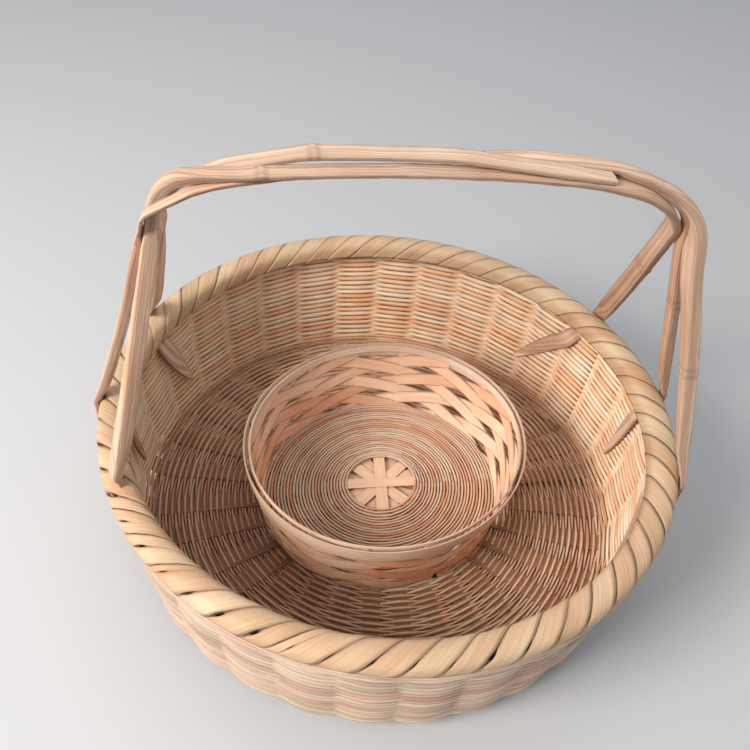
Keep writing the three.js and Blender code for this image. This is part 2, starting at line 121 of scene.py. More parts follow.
def add_node(tree, kind, inputs=None, **settings):
    node = tree.nodes.new(kind)
    for key, value in settings.items():
        setattr(node, key, value)
    for key, value in (inputs or {}).items():
        socket = node.inputs[key]
        if isinstance(value, bpy.types.NodeSocket):
            tree.links.new(value, socket)
        else:
            socket.default_value = value
    return node


def maths(tree, operation, first, second=0.0, third=0.0):
    return add_node(tree, "ShaderNodeMath", {0: first, 1: second, 2: third}, operation=operation).outputs[0]


def vector_maths(tree, operation, first, second=(0, 0, 0)):
    return add_node(tree, "ShaderNodeVectorMath", {0: first, 1: second}, operation=operation).outputs[0]


def vector_of(tree, x, y=0.0, z=0.0):
    return add_node(tree, "ShaderNodeCombineXYZ", {0: x, 1: y, 2: z}).outputs[0]


def parts_of(tree, vector):
    return add_node(tree, "ShaderNodeSeparateXYZ", {0: vector}).outputs


def ramp(tree, value, low, high, first=0.0, last=1.0, kind="LINEAR"):
    """Goes from first to last as the value goes from low to high, and no further."""
    inputs = {0: value, 1: low, 2: high, 3: first, 4: last}
    return add_node(tree, "ShaderNodeMapRange", inputs, interpolation_type=kind).outputs[0]


def blotches(tree, place, detail):
    return add_node(tree, "ShaderNodeTexNoise", {"Vector": place, "Scale": 1.0, "Detail": detail}).outputs[0]


def blend_colour(tree, share, first, second):
    return add_node(tree, "ShaderNodeMix", {0: share, 6: first, 7: second}, data_type="RGBA").outputs[2]


def add_inputs(tree, sockets):
    for name, kind, value in sockets:
        socket = tree.interface.new_socket(name, in_out="INPUT", socket_type="NodeSocket" + kind)
        if value is not None:
            socket.default_value = value


# Split bamboo, as every piece shows it: pale, warm wood with fine fibres along each
# splint. Its grain holds the way along the splint and the way across it, in metres,
# and the splint's own tone from 0 to 1, because no two have quite one colour.
bamboo_look = bpy.data.node_groups.new("split_bamboo", "ShaderNodeTree")
add_inputs(bamboo_look, (
    ("Grain", "Vector", (0, 0, 0)),
    ("Light", "Color", (0.8, 0.6, 0.4, 1)),
    ("Dark", "Color", (0.6, 0.35, 0.2, 1)),
    ("Tint", "Color", (0.6, 0.6, 0.4, 1)),
    ("Tint Share", "Float", 0.3),
    ("Fibres Across", "Float", 900.0),
    ("Fibres Along", "Float", 18.0),
    ("Fibre Depth", "Float", 0.35),
    ("Tone Spread", "Float", 0.8),
    ("Painted Shade And Rings", "Float", 0.0),
))
for name, kind in (("Colour", "Color"), ("Roughness", "Float"), ("Height", "Float")):
    bamboo_look.interface.new_socket(name, in_out="OUTPUT", socket_type="NodeSocket" + kind)

patches_along, patches_across = 22.0, 60.0
tints_along, tints_by_splint = 9.0, 71.0
fibres_by_splint = 37.0
# The warm brown that painted shade, and the knuckles' darker rings, darken the colour towards.
shade_and_ring_colour = (0.12, 0.04, 0.0)

tree = bamboo_look
given = tree.nodes.new("NodeGroupInput").outputs
along, across, own = parts_of(tree, given["Grain"])
own_place = maths(tree, "MULTIPLY", own, fibres_by_splint)
fibres = blotches(tree, vector_of(
    tree,
    maths(tree, "MULTIPLY", along, given["Fibres Along"]),
    maths(tree, "MULTIPLY", across, given["Fibres Across"]),
    own_place,
), 3.0)
patches = blotches(tree, vector_of(
    tree,
    maths(tree, "MULTIPLY", along, patches_along),
    maths(tree, "MULTIPLY", across, patches_across),
    own_place,
), 2.0)
tone = maths(tree, "MULTIPLY_ADD", maths(tree, "SUBTRACT", own, 0.5), given["Tone Spread"], patches)
colour = blend_colour(tree, ramp(tree, tone, 0.2, 0.85), given["Light"], given["Dark"])
tints = blotches(tree, vector_of(
    tree, maths(tree, "MULTIPLY", along, tints_along), maths(tree, "MULTIPLY", own, tints_by_splint),
), 1.0)
tint = maths(tree, "MULTIPLY", ramp(tree, tints, 0.5, 0.72), given["Tint Share"])
colour = blend_colour(tree, tint, colour, given["Tint"])
streak = ramp(tree, fibres, 0.3, 0.7, 1.0, 0.0)
kept_light = maths(tree, "SUBTRACT", 1.0, maths(tree, "MULTIPLY", streak, given["Fibre Depth"]))
fibred = add_node(tree, "ShaderNodeVectorMath", {0: colour, "Scale": kept_light}, operation="SCALE")
fibred = fibred.outputs[0]
# Painted shade: the given share darkens the colour towards a warm brown. On the handle the same share also
# carries the knuckles' darker rings.
with_shade_and_rings = blend_colour(tree, given["Painted Shade And Rings"], fibred, vector_maths(tree, "MULTIPLY", fibred, shade_and_ring_colour))
result = tree.nodes.new("NodeGroupOutput").inputs
tree.links.new(with_shade_and_rings, result["Colour"])
tree.links.new(maths(tree, "MULTIPLY_ADD", streak, 0.2, 0.5), result["Roughness"])
tree.links.new(fibres, result["Height"])


def linear(code):
    """A hex code's colour as linear values, with full alpha."""
    parts = [int(code[i:i + 2], 16) / 255 for i in (0, 2, 4)]
    return (*(p / 12.92 if p <= 0.04045 else ((p + 0.055) / 1.055) ** 2.4 for p in parts), 1)


def split_bamboo(tree, grain, painted_shade_and_rings, colours, values):
    """The shared look in a material: light, dark and tint as hex codes, and the group's other values."""
    look = tree.nodes.new("ShaderNodeGroup")
    look.node_tree = bamboo_look
    tree.links.new(grain, look.inputs["Grain"])
    tree.links.new(painted_shade_and_rings, look.inputs["Painted Shade And Rings"])
    for key, code in zip(("Light", "Dark", "Tint"), colours):
        look.inputs[key].default_value = linear(code)
    for key, value in values.items():
        look.inputs[key.replace("_", " ")].default_value = value
    return look.outputs


def flat_splint(name, light, dark, turned, open_radius):
    """A flat splint's finish. Its fibres run along it, turned so many degrees in the floor."""
    material, tree, shader = new_material(name)
    place = add_node(tree, "ShaderNodeTexCoord").outputs["Object"]
    place = add_node(tree, "ShaderNodeVectorRotate", {
        "Vector": place, "Angle": math.radians(-turned),
    }, rotation_type="Z_AXIS").outputs[0]
    place = vector_maths(tree, "MULTIPLY", place, (1, 1, 0.3))
    # Past the open middle a splint's colour is darkened with painted shade, as it lies under its weavers.
    out = add_node(tree, "ShaderNodeVectorMath", {0: place}, operation="LENGTH").outputs["Value"]
    shade = ramp(tree, out, open_radius - 1 * mm, open_radius + 3 * mm, 0.0, 0.7)
    look = split_bamboo(tree, place, shade, (light, dark), {"Tone_Spread": 0.2})
    tree.links.new(look["Colour"], shader.inputs["Base Color"])
    tree.links.new(look["Roughness"], shader.inputs["Roughness"])
    return material


def dress(node_name, finish):
    """Gives one of the frame's own solids its finish."""
    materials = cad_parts[node_name].data.materials
    materials.clear()
    materials.append(finish)


across_finish = flat_splint("splint_across", splint_light, splint_dark, 0, mat_radius)
front_to_back_finish = flat_splint("splint_front_to_back", splint_light, splint_dark, 90, mat_radius)
for number in range(1, 9):
    dress(f"long_splint_across_{number}", across_finish)
    dress(f"long_splint_front_to_back_{number}", front_to_back_finish)

# The wall: fine round weavers of split bamboo, laid over one stake and under the next,
# row on row, from the heel to the rim. Odd rows take the stakes that even rows pass by.
# Their pale skin is outside, tinged green or pink, and their warmer pith shows inside.
stake_count = 32
first_gap = -3
stake_turn = math.radians(first_gap + 360 / stake_count / 2)
wall_line = [
    (184.8, 4.8), (189.4, 6.8), (192.2, 11), (195.2, 17), (199.6, 55), (201.6, 103), (202, 111), (202, 121),
]

weave_tree = bpy.data.node_groups.new("weavers_round_stakes", "GeometryNodeTree")
add_inputs(weave_tree, (
    ("Line", "Geometry", None),
    ("Rows", "Int", 38),
    ("Steps", "Int", 256),
    ("Stakes", "Float", 32.0),
    ("First Stake", "Float", 0.0),
    ("Wave", "Float", 0.0016),
    ("Outward", "Float", 0.0),
    ("Spread", "Float", 0.5),
    ("Strand Depth", "Float", 0.0011),
    ("Strand Height", "Float", 0.0013),
    ("Unevenness", "Float", 0.0005),
    ("Dive Shade Depth", "Float", 0.0),
    ("Side Shade", "Float", 0.5),
    ("Lies Flat", "Float", 0.0),
    ("Seed", "Int", 3),
    ("Finish", "Material", None),
))
weave_tree.interface.new_socket("Weave", in_out="OUTPUT", socket_type="NodeSocketGeometry")


def kept(tree, geometry, kind, value):
    """Keeps a field's value on the geometry's points, and gives the geometry and the value."""
    node = tree.nodes.new("GeometryNodeCaptureAttribute")
    node.capture_items.new(kind, "value")
    tree.links.new(geometry, node.inputs[0])
    tree.links.new(value, node.inputs[1])
    return node.outputs[0], node.outputs[1]


def field(tree, kind):
    """What each point knows of itself, such as its place."""
    return tree.nodes.new("GeometryNode" + kind).outputs[0]


def stored(tree, geometry, name, value, kind="FLOAT"):
    """Stores a field's value on the geometry's points, under a name that a finish reads."""
    inputs = {"Geometry": geometry, "Name": name, "Value": value}
    node = add_node(tree, "GeometryNodeStoreNamedAttribute", inputs, data_type=kind, domain="POINT")
    return node.outputs[0]


def round_place(tree, radius, angle, height):
    x = maths(tree, "MULTIPLY", radius, maths(tree, "COSINE", angle))
    y = maths(tree, "MULTIPLY", radius, maths(tree, "SINE", angle))
    return vector_of(tree, x, y, height)


def own_chance(tree, x, y=0.0, z=0.0):
    """A value from 0 to 1, and a colour, drawn for each x, y and z."""
    return add_node(tree, "ShaderNodeTexWhiteNoise", {0: vector_of(tree, x, y, z)}).outputs


def unit_circle(tree, corners):
    inputs = {"Resolution": corners, "Radius": 1.0}
    return add_node(tree, "GeometryNodeCurvePrimitiveCircle", inputs).outputs[0]


def placed(tree, points, instance):
    """Sets a copy on each point, and makes the copies real."""
    inputs = {"Points": points, "Instance": instance}
    copies = add_node(tree, "GeometryNodeInstanceOnPoints", inputs).outputs[0]
    return add_node(tree, "GeometryNodeRealizeInstances", {0: copies}).outputs[0]


def end_tree(tree, geometry, finish):
    """The last nodes of a tree: smooth, real faces in their finish."""
    geometry = add_node(tree, "GeometryNodeSetShadeSmooth", {0: geometry}).outputs[0]
    geometry = add_node(tree, "GeometryNodeRealizeInstances", {0: geometry}).outputs[0]
    inputs = {"Geometry": geometry, "Material": finish}
    geometry = add_node(tree, "GeometryNodeSetMaterial", inputs).outputs[0]
    tree.links.new(geometry, tree.nodes.new("NodeGroupOutput").inputs[0])


strand_sides = 6
strand_girth = 7 * mm
splices_per_round = 3.0
splice_shift = 0.38
stray_by_seed, stray_by_row = 3.1, 0.71
stray_scale = 3.5
stray_climb = 3.0
stray_thickness = 0.3

# Each row is a ring. The line gives the ring its radius and height, and the way that
# the rows climb, which is x and z here because the line lies over the x axis.
tree = weave_tree
given = tree.nodes.new("NodeGroupInput").outputs
line = add_node(tree, "GeometryNodeMeshToCurve", {0: given["Line"]}).outputs[0]
line = add_node(tree, "GeometryNodeResampleCurve", {"Curve": line, "Count": given["Rows"]}).outputs[0]
line, row_place = kept(tree, line, "VECTOR", field(tree, "InputPosition"))
line, row_way = kept(tree, line, "VECTOR", field(tree, "InputTangent"))
line, row = kept(tree, line, "INT", field(tree, "InputIndex"))
rounds = placed(tree, line, unit_circle(tree, given["Steps"]))
rounds, share = kept(tree, rounds, "FLOAT", field(tree, "SplineParameter"))
angle = maths(tree, "MULTIPLY", share, 2 * math.pi)
over_under = maths(tree, "MULTIPLY", maths(tree, "SUBTRACT", angle, given["First Stake"]), given["Stakes"])
over_under = maths(tree, "MULTIPLY_ADD", row, math.pi, maths(tree, "MULTIPLY", over_under, 0.5))
swing = maths(tree, "COSINE", over_under)
stray_place = vector_of(
    tree, maths(tree, "COSINE", angle), maths(tree, "SINE", angle),
    maths(tree, "MULTIPLY_ADD", given["Seed"], stray_by_seed, maths(tree, "MULTIPLY", row, stray_by_row)),
)
stray = add_node(tree, "ShaderNodeTexNoise", {"Vector": stray_place, "Scale": stray_scale, "Detail": 2.0})
stray_out, stray_up, stray_thick = parts_of(
    tree, vector_maths(tree, "SUBTRACT", stray.outputs["Color"], (0.5, 0.5, 0.5))
)
row_radius, _, row_height = parts_of(tree, row_place)
way_out, _, way_up = parts_of(tree, row_way)
wave = maths(tree, "MULTIPLY_ADD", swing, given["Wave"], given["Outward"])
wave = maths(tree, "MULTIPLY_ADD", stray_out, given["Unevenness"], wave)
drift = maths(tree, "MULTIPLY", stray_up, maths(tree, "MULTIPLY", given["Unevenness"], stray_climb))
radius = maths(tree, "MULTIPLY_ADD", way_up, wave, row_radius)
radius = maths(tree, "MULTIPLY_ADD", way_out, drift, radius)
height = maths(tree, "SUBTRACT", row_height, maths(tree, "MULTIPLY", way_out, wave))
height = maths(tree, "MULTIPLY_ADD", way_up, drift, height)
place = round_place(tree, radius, angle, height)
rounds = add_node(tree, "GeometryNodeSetPosition", {"Geometry": rounds, "Position": place}).outputs[0]
rounds = add_node(tree, "GeometryNodeSetCurveNormal", {"Curve": rounds}, mode="Z_UP").outputs[0]
thick = maths(tree, "MULTIPLY_ADD", maths(tree, "ABSOLUTE", swing), given["Spread"], 1.0)
thick = maths(tree, "MULTIPLY_ADD", stray_thick, stray_thickness, thick)
splice = maths(tree, "MULTIPLY_ADD", row, splice_shift, maths(tree, "MULTIPLY", share, splices_per_round))
rounds, kept_length = kept(tree, rounds, "FLOAT", maths(tree, "MULTIPLY", angle, row_radius))
rounds, kept_row = kept(tree, rounds, "INT", row)
rounds, kept_splice = kept(tree, rounds, "FLOAT", maths(tree, "FLOOR", splice))
rounds, kept_swing = kept(tree, rounds, "FLOAT", swing)
section = unit_circle(tree, strand_sides)
section, kept_turn = kept(tree, section, "FLOAT", field(tree, "SplineParameter"))
section = add_node(tree, "GeometryNodeTransform", {
    "Geometry": section, "Scale": vector_of(tree, given["Strand Depth"], given["Strand Height"], 1.0),
}).outputs[0]
strands = add_node(tree, "GeometryNodeCurveToMesh", {
    "Curve": rounds, "Profile Curve": section, "Scale": thick,
}).outputs[0]
own_tone = own_chance(tree, kept_row, kept_splice, given["Seed"])[0]
grain = vector_of(tree, kept_length, maths(tree, "MULTIPLY", kept_turn, strand_girth), own_tone)
strands = stored(tree, strands, "grain", grain, "FLOAT_VECTOR")
skin_side = maths(tree, "COSINE", maths(tree, "MULTIPLY", kept_turn, 2 * math.pi))
strands = stored(tree, strands, "skin", skin_side)
# Painted shade: a weaver's colour is darkened along its flanks, and where it dives away behind a stake.
dive = maths(tree, "MULTIPLY", kept_swing, skin_side)
down = maths(tree, "SUBTRACT", maths(tree, "MULTIPLY", kept_swing, -1.0), dive)
dive = maths(tree, "MULTIPLY_ADD", down, given["Lies Flat"], dive)
dive_shade = ramp(tree, dive, -0.3, -0.7, 0.0, given["Dive Shade Depth"])
upright = maths(tree, "SUBTRACT", 1.0, given["Lies Flat"])
flank = maths(tree, "ABSOLUTE", maths(tree, "SUBTRACT", maths(tree, "ABSOLUTE", skin_side), upright))
outside = maths(tree, "MAXIMUM", maths(tree, "MULTIPLY_ADD", skin_side, 0.6, 0.85), given["Lies Flat"])
flank_shade = maths(tree, "MULTIPLY", maths(tree, "MULTIPLY", flank, outside), given["Side Shade"])
strands = stored(tree, strands, "painted_shade_and_rings", maths(tree, "MAXIMUM", dive_shade, flank_shade))
end_tree(tree, strands, given["Finish"])


def settled(name, base, tree, values, shape=None):
    """Runs a node tree on a base mesh and gives its result as a plain mesh object."""
    source = bpy.data.objects.new(name + "_source", base)
    scene.collection.objects.link(source)
    modifier = source.modifiers.new("made", "NODES")
    modifier.node_group = tree
    for item in tree.interface.items_tree:
        if item.item_type == "SOCKET" and item.in_out == "INPUT" and item.name in values:
            modifier[item.identifier] = values[item.name]
    bpy.context.view_layer.update()
    graph = bpy.context.evaluated_depsgraph_get()
    mesh = bpy.data.meshes.new_from_object(source.evaluated_get(graph))
    source.modifiers.remove(modifier)
    bpy.data.objects.remove(source)
    mesh.name = name
    if shape is not None:
        mesh.transform(shape)
    piece = bpy.data.objects.new(name, mesh)
    scene.collection.objects.link(piece)
    return piece


def line_mesh(name, stops):
    """The line that rows follow, from radii and heights in millimetres."""
    mesh = bpy.data.meshes.new(name)
    points = [(radius * mm, 0, height * mm) for radius, height in stops]
    mesh.from_pydata(points, [(i, i + 1) for i in range(len(points) - 1)], [])
    return mesh


def two_sided(name, outer, inner, **values):
    """A weaver's finish: its skin outwards and its pith towards the inside of the basket."""
    material, tree, shader = new_material(name)
    grain = add_node(tree, "ShaderNodeAttribute", attribute_name="grain").outputs["Vector"]
    painted_shade_and_rings = add_node(tree, "ShaderNodeAttribute", attribute_name="painted_shade_and_rings").outputs["Fac"]
    skin = add_node(tree, "ShaderNodeAttribute", attribute_name="skin").outputs["Fac"]
    pith_look = split_bamboo(tree, grain, painted_shade_and_rings, inner, values)
    skin_look = split_bamboo(tree, grain, painted_shade_and_rings, outer, values)
    colour = blend_colour(tree, ramp(tree, skin, -0.2, 0.35), pith_look["Colour"], skin_look["Colour"])
    tree.links.new(colour, shader.inputs["Base Color"])
    tree.links.new(pith_look["Roughness"], shader.inputs["Roughness"])
    shader.inputs["Specular IOR Level"].default_value = 0.3
    return material


wall_finish = two_sided(
    "wall_weavers", ("dfc7ad", "c4998a", "a0a07c"), ("ffe9cc", "f8bd8c", "fde6c0"),
    Fibres_Across=700.0, Fibre_Depth=0.22, Tone_Spread=0.6, Tint_Share=0.6,
)
wall = settled("wall_strands", line_mesh("wall_line", wall_line), weave_tree, {
    "Rows": 47, "Steps": 224, "Stakes": float(stake_count), "First Stake": stake_turn,
    "Wave": 1.8 * mm, "Outward": 0.6 * mm, "Spread": 0.4, "Strand Depth": 1.05 * mm,
    "Strand Height": 1.95 * mm, "Unevenness": 0.5 * mm, "Dive Shade Depth": 0.55, "Side Shade": 0.68,
    "Seed": 3, "Finish": wall_finish,
})
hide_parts("wall_weave")
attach(wall, "outer_basket")

# The floor: the same fine weavers of split bamboo, woven round and round the mat of
# crossed splints, and out to the heel, where they turn up into the wall.
floor_line = [(94.5, 6.5), (178, 6.5), (189, 7.6), (192.5, 13)]


def bamboo(name, light, dark, tint, bump=0.0004, **values):
    """A finish of split bamboo for a piece with its own grain, and its painted shade and rings."""
    material, tree, shader = new_material(name)
    grain = add_node(tree, "ShaderNodeAttribute", attribute_name="grain").outputs["Vector"]
    painted_shade_and_rings = add_node(tree, "ShaderNodeAttribute", attribute_name="painted_shade_and_rings").outputs["Fac"]
    look = split_bamboo(tree, grain, painted_shade_and_rings, (light, dark, tint), values)
    tree.links.new(look["Colour"], shader.inputs["Base Color"])
    tree.links.new(look["Roughness"], shader.inputs["Roughness"])
    raised = add_node(tree, "ShaderNodeBump", {"Height": look["Height"], "Distance": bump})
    tree.links.new(raised.outputs[0], shader.inputs["Normal"])
    shader.inputs["Specular IOR Level"].default_value = 0.35
    return material


floor_finish = bamboo(
    "floor_weavers", "f8d3b0", "dfa47e", "f0cda6", Fibres_Across=700.0, Fibre_Depth=0.25, Tone_Spread=0.6,
)
floor_weave = settled("floor_strands", line_mesh("floor_line", floor_line), weave_tree, {
    "Rows": 41, "Steps": 224, "Stakes": float(stake_count), "First Stake": stake_turn,
    "Wave": 1.7 * mm, "Spread": 0.35, "Strand Depth": 0.95 * mm, "Strand Height": 1.75 * mm,
    "Unevenness": 0.6 * mm, "Dive Shade Depth": 0.5, "Side Shade": 0.45, "Lies Flat": 1.0,
    "Seed": 5, "Finish": floor_finish,
})
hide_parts("floor_weave")
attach(floor_weave, "outer_basket")

# The rim's hoops: two rings of thick split bamboo that clamp the top of the wall, one
# inside and one outside. Over the outer one lies a bundle of long fine weavers, which
# shows as a band where the binding leaves it bare below.
filler_line = [(204.5, 97), (208, 103), (210, 110), (209.5, 118.5)]
dress("rim_hoop_inner", across_finish)
filler = settled("rim_filler_strands", line_mesh("filler_line", filler_line), weave_tree, {
    "Rows": 10, "Steps": 160, "Stakes": float(stake_count), "First Stake": stake_turn,
    "Wave": 0.35 * mm, "Spread": 0.2, "Strand Depth": 1.2 * mm, "Strand Height": 1.5 * mm,
    "Unevenness": 1.4 * mm, "Seed": 12, "Finish": wall_finish,
})
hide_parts("rim_hoop_outer")
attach(filler, "outer_basket")

# The rim's binding: wide splints wound slantwise over the two hoops, each turn laid
# close by the turn before. Some turns are two narrower splints side by side, and
# lens-shaped slits stay open between them on the outside.
rim_radius = 202
rim_top = 127
turn_section = [
    (9.3, 114.5), (9.9, 118), (9.7, 121.4), (8.2, 124.2), (5, 126.2), (0, 127),
    (-5, 126.2), (-8.2, 124.2), (-9.7, 121), (-10, 117.5), (-10, 112),
]


def even_section(points, count):
    """Evenly spaced points on the line through the section's points."""
    values = np.array(points, float)
    knots = np.concatenate(((0,), np.cumsum(np.linalg.norm(np.diff(values, axis=0), axis=1))))
    where = np.linspace(0, knots[-1], count)
    return list(zip(np.interp(where, knots, values[:, 0]), np.interp(where, knots, values[:, 1])))


binding_tree = bpy.data.node_groups.new("slanting_wraps", "GeometryNodeTree")
add_inputs(binding_tree, (
    ("Turn", "Geometry", None),
    ("Wraps", "Int", 58),
    ("Ring Radius", "Float", rim_radius * mm),
    ("Width", "Float", 0.0226),
    ("Slit", "Float", 0.0028),
    ("Slant", "Float", 0.03),
    ("Lift", "Float", 0.001),
    ("Unevenness", "Float", 0.004),
    ("Split From", "Int", 31),
    ("Split To", "Int", 41),
    ("Seed", "Int", 4),
    ("Finish", "Material", None),
))
binding_tree.interface.new_socket("Binding", in_out="OUTPUT", socket_type="NodeSocketGeometry")

# Each wrap has two turns, for the two splints it may be. A turn's base mesh holds its
# section in x and z, from outside to inside, and the way across the splint in y, from
# -1 to 1. Its "round" attribute goes from 0 to 1 over the rim.
tree = binding_tree
given = tree.nodes.new("NodeGroupInput").outputs
count = add_node(tree, "FunctionNodeIntegerMath", {0: given["Wraps"], 1: 2}, operation="MULTIPLY").outputs[0]
points = add_node(tree, "GeometryNodeMeshLine", {"Count": count, "Offset": (0, 0, 0)}).outputs[0]
points, number = kept(tree, points, "INT", field(tree, "InputIndex"))
turns = placed(tree, points, given["Turn"])
flat_out, flat_across, flat_up = parts_of(tree, field(tree, "InputPosition"))
turns, kept_out = kept(tree, turns, "FLOAT", flat_out)
turns, kept_across = kept(tree, turns, "FLOAT", flat_across)
turns, kept_up = kept(tree, turns, "FLOAT", flat_up)
round_share = add_node(
    tree, "GeometryNodeInputNamedAttribute", {"Name": "round"}, data_type="FLOAT",
).outputs["Attribute"]
wrap = maths(tree, "FLOOR", maths(tree, "DIVIDE", number, 2.0))
second = maths(tree, "SUBTRACT", number, maths(tree, "MULTIPLY", wrap, 2.0))
split_chance, slit_chance, stray_chance = parts_of(tree, own_chance(tree, wrap, given["Seed"])["Color"])
own_part = own_chance(tree, wrap, given["Seed"], maths(tree, "ADD", second, 5.0))["Value"]

# The split is where the second splint begins, from -1 to 1. A wrap is split only along
# a part of the rim, and not always. Where it is whole, its second turn has no width.
split_from_chance = 0.45
whole_width = 0.97
split = ramp(tree, split_chance, split_from_chance, 1.0, 0.55, -0.35)
whole = maths(tree, "LESS_THAN", split_chance, split_from_chance)
whole = maths(tree, "MAXIMUM", whole, maths(tree, "LESS_THAN", wrap, given["Split From"]))
whole = maths(tree, "MAXIMUM", whole, maths(tree, "GREATER_THAN", wrap, given["Split To"]))
split = maths(tree, "MAXIMUM", split, maths(tree, "MULTIPLY", whole, whole_width))
from_start = maths(tree, "MULTIPLY_ADD", kept_across, 0.5, 0.5)
first_across = maths(tree, "MULTIPLY_ADD", from_start, maths(tree, "ADD", split, 0.96), -1.0)
first_across = maths(tree, "MULTIPLY", first_across, maths(tree, "SUBTRACT", 1.0, second))
from_end = maths(tree, "MULTIPLY_ADD", kept_across, -0.5, 0.5)
second_across = maths(tree, "MULTIPLY_ADD", from_end, maths(tree, "SUBTRACT", split, whole_width), 1.0)
across = maths(tree, "ADD", first_across, maths(tree, "MULTIPLY", second_across, second))

# Each wrap lies with one edge on the wrap before it, and ripples a little. The slit
# beside it is widest at one place on the outside and closes to both ends.
ripples = 2.5
slit_place = 0.26
slit_open, slit_closed = 0.02, 0.15
out_by_lift = 100.0
turn_length = 50 * mm
grain_drift = 3 * mm
grain_half_width = 11 * mm
edge_from = 0.8
edge_shade = 0.3
lift = maths(tree, "MULTIPLY", maths(tree, "MULTIPLY_ADD", across, 0.5, 0.5), given["Lift"])
sunk = maths(tree, "MULTIPLY", own_part, second)
lift = maths(tree, "MULTIPLY_ADD", sunk, maths(tree, "MULTIPLY", given["Lift"], -0.5), lift)
ripple = blotches(tree, vector_of(tree, maths(tree, "MULTIPLY", round_share, ripples), across, wrap), 1.0)
lift = maths(tree, "MULTIPLY_ADD", maths(tree, "SUBTRACT", ripple, 0.5), given["Lift"], lift)
from_slit = maths(tree, "ABSOLUTE", maths(tree, "SUBTRACT", round_share, slit_place))
lens = ramp(tree, from_slit, slit_open, slit_closed, 1.0, 0.0, "SMOOTHSTEP")
slit = maths(tree, "MULTIPLY", given["Slit"], maths(tree, "MULTIPLY_ADD", slit_chance, 0.7, 0.3))
lens = maths(tree, "MULTIPLY", lens, slit)
half_width = maths(tree, "SUBTRACT", maths(tree, "MULTIPLY", given["Width"], 0.5), lens)
along_rim = maths(tree, "MULTIPLY", across, half_width)
stray = maths(tree, "SUBTRACT", stray_chance, 0.5)
along_rim = maths(tree, "MULTIPLY_ADD", stray, given["Unevenness"], along_rim)
along_rim = maths(tree, "MULTIPLY_ADD", round_share, given["Slant"], along_rim)
ring_here = maths(tree, "ADD", given["Ring Radius"], kept_out)
angle = maths(tree, "MULTIPLY", wrap, maths(tree, "DIVIDE", 2 * math.pi, given["Wraps"]))
angle = maths(tree, "ADD", angle, maths(tree, "DIVIDE", along_rim, ring_here))
grow = maths(tree, "MULTIPLY_ADD", lift, out_by_lift, 1.0)
out = maths(tree, "MULTIPLY_ADD", kept_out, grow, given["Ring Radius"])
over_top = maths(tree, "SINE", maths(tree, "MULTIPLY", round_share, math.pi))
up = maths(tree, "ADD", kept_up, maths(tree, "MULTIPLY", lift, over_top))
place = round_place(tree, out, angle, up)
grain = vector_of(
    tree,
    maths(tree, "MULTIPLY_ADD", round_share, turn_length, maths(tree, "MULTIPLY", wrap, turn_length)),
    maths(tree, "MULTIPLY_ADD", round_share, grain_drift, maths(tree, "MULTIPLY", across, grain_half_width)),
    own_part,
)
turns = stored(tree, turns, "grain", grain, "FLOAT_VECTOR")
# Painted shade: each wrap's colour darkens towards its two edges, along the seams between wraps.
edge = ramp(tree, maths(tree, "ABSOLUTE", kept_across), edge_from, 1.0, 0.0, edge_shade)
turns = stored(tree, turns, "painted_shade_and_rings", edge)
turns = add_node(tree, "GeometryNodeSetPosition", {"Geometry": turns, "Position": place}).outputs[0]
end_tree(tree, turns, given["Finish"])


def turn_mesh(name, section, steps_across):
    """One flat turn of splint over the section, as a sheet."""
    mesh = bpy.data.meshes.new(name)
    row = steps_across + 1
    last = len(section) - 1
    points = [(out * mm, 2 * j / steps_across - 1, up * mm) for out, up in section for j in range(row)]
    faces = [
        (i * row + j, i * row + j + 1, (i + 1) * row + j + 1, (i + 1) * row + j)
        for i in range(last) for j in range(steps_across)
    ]
    mesh.from_pydata(points, [], faces)
    share = mesh.attributes.new("round", "FLOAT", "POINT")
    share.data.foreach_set("value", [i / last for i in range(last + 1) for _ in range(row)])
    return mesh


def thicken(piece, thickness):
    """Gives a sheet its thickness, inwards, and makes that part of its mesh."""
    solidify = piece.modifiers.new("thickness", "SOLIDIFY")
    solidify.thickness = thickness
    solidify.offset = -1
    graph = bpy.context.evaluated_depsgraph_get()
    thick = bpy.data.meshes.new_from_object(piece.evaluated_get(graph))
    piece.modifiers.remove(solidify)
    piece.data = thick


binding_finish = bamboo(
    "rim_splint", "d8b998", "bd926e", "beb38e",
    Fibres_Across=500.0, Fibre_Depth=0.16, Tone_Spread=0.35, Tint_Share=0.4,
)
turn = turn_mesh("turn", even_section(turn_section, count=22), steps_across=6)
binding = settled("rim_wraps", turn, binding_tree, {
    "Wraps": 58, "Ring Radius": rim_radius * mm, "Width": 23.4 * mm, "Slit": 1.6 * mm, "Slant": 40 * mm,
    "Lift": 0.5 * mm, "Unevenness": 2 * mm, "Seed": 4, "Finish": binding_finish,
})
thicken(binding, thickness=0.8 * mm)
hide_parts("rim_binding")
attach(binding, "outer_basket")

# The handle: four strips of split bamboo, thick where they stand as legs and pared
# thin over the top, where they lie on each other. Five legs pass outside the rim and
# go in through the wall under it as thin tongues. The sixth goes down between its hoops.
rim_outer = 212
binding_foot = 111
shoulder_height = 103
tongue_top = 99
tongue_end = 42
wall_clearance = 3.9
between_hoops = 1.5
handle_top = 310
corner_height = 280
left_corner = 157

